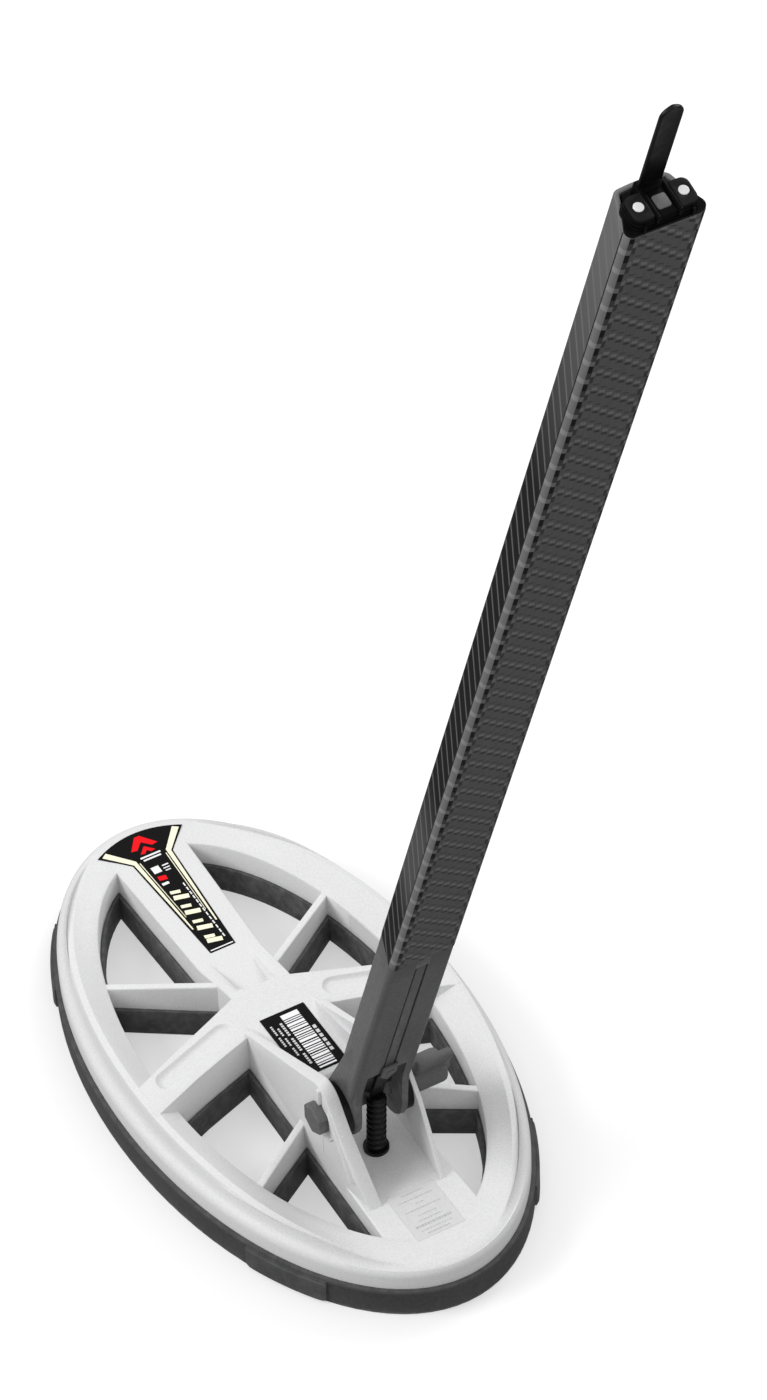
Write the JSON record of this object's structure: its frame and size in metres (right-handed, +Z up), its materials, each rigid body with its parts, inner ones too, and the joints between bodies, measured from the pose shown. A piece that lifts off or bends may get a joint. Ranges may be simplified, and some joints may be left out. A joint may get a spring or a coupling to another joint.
{
  "type": "metal detector coil and lower stem",
  "caption": "Elliptical spoked search coil on a tilting clevis with a wing knob, a woven carbon lower stem and a battery that slides out of its top",
  "frame": {"origin": "centre of the elliptical coil on the plane that its skid cover stands on", "axes": "+Y to the coil's front tip, +X to the operator's right, +Z up; the stem leans back over the rear"},
  "size_m": [0.1318, 0.3619, 0.5573],
  "materials": {
    "shell": "satin moulded polycarbonate with a fine speckle",
    "skid": "textured moulding, scuffed at the edge",
    "copper": "enamelled copper wire bundle",
    "circuit_board": "solder resist over glass fibre",
    "black_plastic": "fine moulded black",
    "black_rubber": "dull rubber",
    "badge": "printed film, satin",
    "label": "printed label with bars",
    "rating": "translucent label",
    "hardware": "moulded nylon",
    "brass": "machined",
    "steel": "turned",
    "fork": "moulded composite, satin",
    "carbon": "woven carbon fibre under resin",
    "cell": "foil pouch",
    "inlay": "soft grey pad",
    "contact": "polished plating",
    "strap": "flexible moulded strap"
  },
  "bodies": {
    "coil": {"coil_top_shell": "shell", "coil_bottom_plate": "skid", "transmit_winding": "copper", "receive_winding": "copper", "coil_circuit_board": "circuit_board", "board_components": "black_plastic", "cable_gland": "black_rubber", "cable_boot": "black_rubber", "coil_cable": "black_rubber", "front_badge": "badge", "barcode_label": "label", "rating_label": "rating", "pivot_bolt": "hardware"},
    "skid": {"skid_cover": "skid"},
    "stem": {"stem_fork": "fork", "channel_strip": "fork", "cable_connector": "black_plastic", "supply_cable": "black_rubber", "carbon_tube": "carbon", "battery_socket": "black_plastic", "socket_pins": "brass", "washer_left": "black_rubber", "washer_right": "black_rubber"},
    "battery": {"battery_case": "black_plastic", "battery_cell": "cell", "battery_board": "circuit_board", "battery_cap": "black_plastic", "cap_inlay": "inlay", "charge_contacts": "contact", "cap_seal": "black_rubber"},
    "strap": {"pull_strap": "strap"},
    "knob_carrier": {"knob_washer": "steel"},
    "knob": {"wing_knob": "hardware", "knob_insert": "brass"}
  },
  "joints": [
    {"name": "stem_tilt", "type": "hinge", "parent": "coil", "child": "stem", "pos_m": [0, -0.0556, 0.0393], "axis": [1, 0, 0], "range_deg": [-105, 60], "deforming": ["cable_boot", "coil_cable"]},
    {"name": "knob_travel", "type": "slide", "parent": "coil", "child": "knob_carrier", "axis": [1, 0, 0], "range_m": [0, 0.0017]},
    {"name": "knob_turn", "type": "hinge", "parent": "knob_carrier", "child": "knob", "pos_m": [0.02, -0.0556, 0.0393], "axis": [1, 0, 0], "range_deg": [0, 720]},
    {"name": "battery_slide", "type": "slide", "parent": "stem", "child": "battery", "axis": [0, -0.3473, 0.9378], "range_m": [0, 0.125]},
    {"name": "strap_bend", "type": "hinge", "parent": "battery", "child": "strap", "pos_m": [0, -0.23076, 0.52857], "axis": [1, 0, 0], "range_deg": [-60, 60], "stiffness_Nm_per_rad": 0.003},
    {"name": "skid_pull", "type": "slide", "parent": "coil", "child": "skid", "axis": [0, 0, -1], "range_m": [0, 0.03]}
  ],
  "couplings": [
    {"joint": "knob_travel", "follows": "knob_turn", "m_per_rad": 0.00012732}
  ]
}
